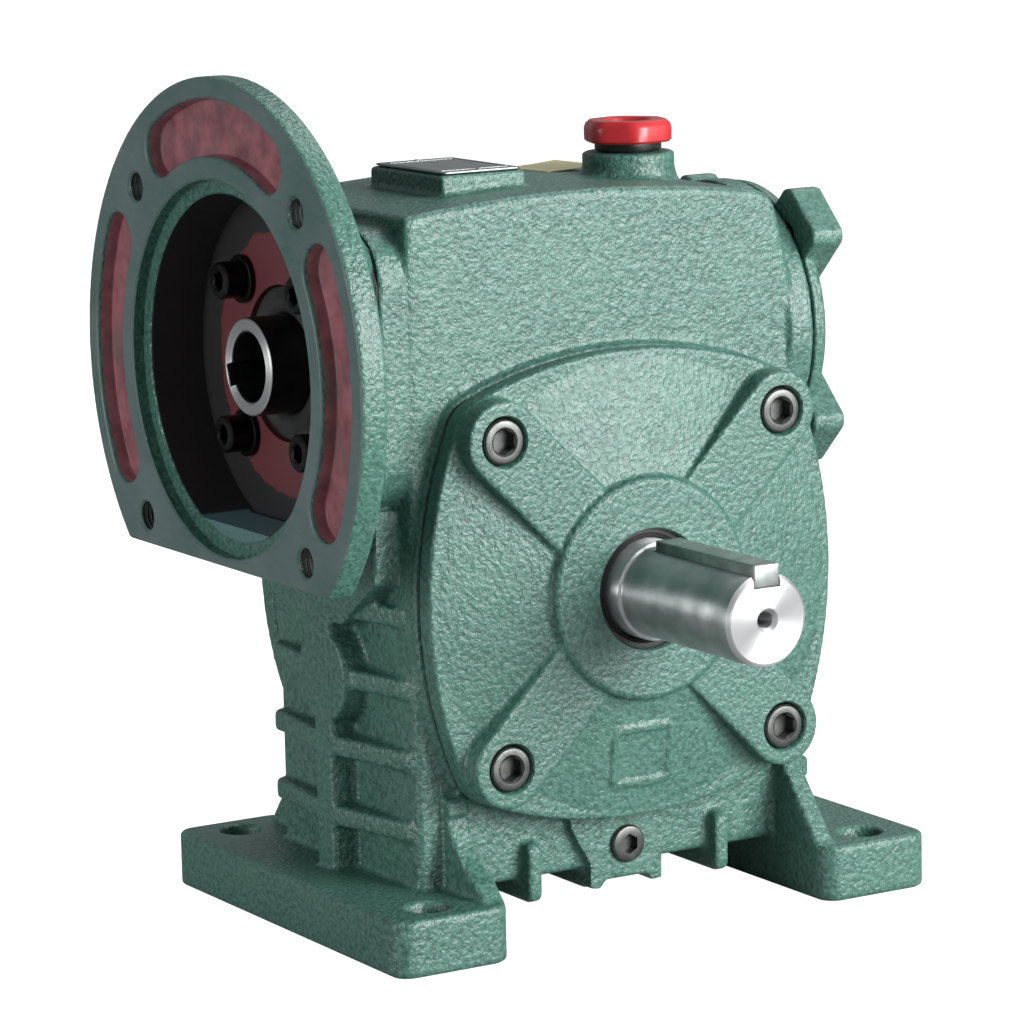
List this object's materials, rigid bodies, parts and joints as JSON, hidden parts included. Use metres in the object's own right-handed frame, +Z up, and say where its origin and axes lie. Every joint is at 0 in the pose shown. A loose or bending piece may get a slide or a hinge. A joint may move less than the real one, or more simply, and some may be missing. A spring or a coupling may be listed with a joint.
{
  "type": "worm gearbox",
  "caption": "Foot-mounted worm gearbox with a motor flange, hollow keyed input and a solid keyed output shaft at right angles.",
  "frame": {"origin": "on the floor, under the centre of the gearbox's bounding box", "axes": "+X from the motor flange to the closed end of the worm, -Y out along the output shaft, +Z up"},
  "size_m": [0.2384, 0.242, 0.3],
  "materials": {
    "green_paint": "dark green hammered paint",
    "ground_steel": "ground",
    "bearing_steel": "polished",
    "screw_steel": "blackened",
    "bronze": "machined",
    "cast_iron": "as cast",
    "black_rubber": "matte",
    "gasket_paper": "matte",
    "red_plastic": "gloss",
    "plate_aluminium": "satin"
  },
  "bodies": {
    "casing": {"breather_cap": "red_plastic", "breather_neck": "black_rubber", "cap_screw_1": "screw_steel", "cap_screw_2": "screw_steel", "cap_screw_3": "screw_steel", "cap_screw_4": "screw_steel", "drain_plug": "screw_steel", "flange_gasket": "gasket_paper", "flange_screw_1": "screw_steel", "flange_screw_2": "screw_steel", "flange_screw_3": "screw_steel", "flange_screw_4": "screw_steel", "flange_washer_1": "screw_steel", "flange_washer_2": "screw_steel", "flange_washer_3": "screw_steel", "flange_washer_4": "screw_steel", "front_bearing_outer_ring": "bearing_steel", "front_cover": "green_paint", "front_cover_gasket": "gasket_paper", "front_cover_screw_1": "screw_steel", "front_cover_screw_2": "screw_steel", "front_cover_screw_3": "screw_steel", "front_cover_screw_4": "screw_steel", "housing": "green_paint", "input_bearing_outer_ring": "bearing_steel", "input_seal": "black_rubber", "motor_flange": "green_paint", "nameplate": "plate_aluminium", "oil_level_plug": "screw_steel", "output_seal": "black_rubber", "rear_bearing_outer_ring": "bearing_steel", "rear_cap": "green_paint", "rear_cap_gasket": "gasket_paper", "rear_cover": "green_paint", "rear_cover_gasket": "gasket_paper", "rear_cover_screw_1": "screw_steel", "rear_cover_screw_2": "screw_steel", "rear_cover_screw_3": "screw_steel", "rear_cover_screw_4": "screw_steel", "worm_rear_bearing_outer_ring": "bearing_steel"},
    "worm": {"worm_shaft": "ground_steel", "input_bearing_inner_ring": "bearing_steel", "worm_rear_bearing_inner_ring": "bearing_steel"},
    "output": {"output_shaft": "ground_steel", "output_key": "ground_steel", "wheel_key": "ground_steel", "wheel_hub": "cast_iron", "wheel_rim": "bronze", "front_sleeve": "ground_steel", "rear_sleeve": "ground_steel", "front_bearing_inner_ring": "bearing_steel", "rear_bearing_inner_ring": "bearing_steel"},
    "front_bearing_cage": {"front_bearing_rollers": "bearing_steel"},
    "rear_bearing_cage": {"rear_bearing_rollers": "bearing_steel"},
    "input_bearing_cage": {"input_bearing_rollers": "bearing_steel"},
    "worm_rear_bearing_cage": {"worm_rear_bearing_rollers": "bearing_steel"}
  },
  "joints": [
    {"name": "worm_spin", "type": "hinge", "parent": "casing", "child": "worm", "pos_m": [0.00925, 0.021, 0.2], "axis": [1, 0, 0], "continuous": true},
    {"name": "output_spin", "type": "hinge", "parent": "casing", "child": "output", "pos_m": [0.00925, 0.021, 0.12], "axis": [0, 1, 0], "continuous": true},
    {"name": "front_bearing_roll", "type": "hinge", "parent": "casing", "child": "front_bearing_cage", "pos_m": [0.00925, 0.021, 0.12], "axis": [0, 1, 0], "continuous": true},
    {"name": "rear_bearing_roll", "type": "hinge", "parent": "casing", "child": "rear_bearing_cage", "pos_m": [0.00925, 0.021, 0.12], "axis": [0, 1, 0], "continuous": true},
    {"name": "input_bearing_roll", "type": "hinge", "parent": "casing", "child": "input_bearing_cage", "pos_m": [0.00925, 0.021, 0.2], "axis": [1, 0, 0], "continuous": true},
    {"name": "worm_rear_bearing_roll", "type": "hinge", "parent": "casing", "child": "worm_rear_bearing_cage", "pos_m": [0.00925, 0.021, 0.2], "axis": [1, 0, 0], "continuous": true}
  ],
  "couplings": [
    {"joint": "output_spin", "follows": "worm_spin", "ratio": -0.033333},
    {"joint": "front_bearing_roll", "follows": "worm_spin", "ratio": -0.013654},
    {"joint": "rear_bearing_roll", "follows": "worm_spin", "ratio": -0.013654},
    {"joint": "input_bearing_roll", "follows": "worm_spin", "ratio": 0.42562},
    {"joint": "worm_rear_bearing_roll", "follows": "worm_spin", "ratio": 0.42562}
  ]
}
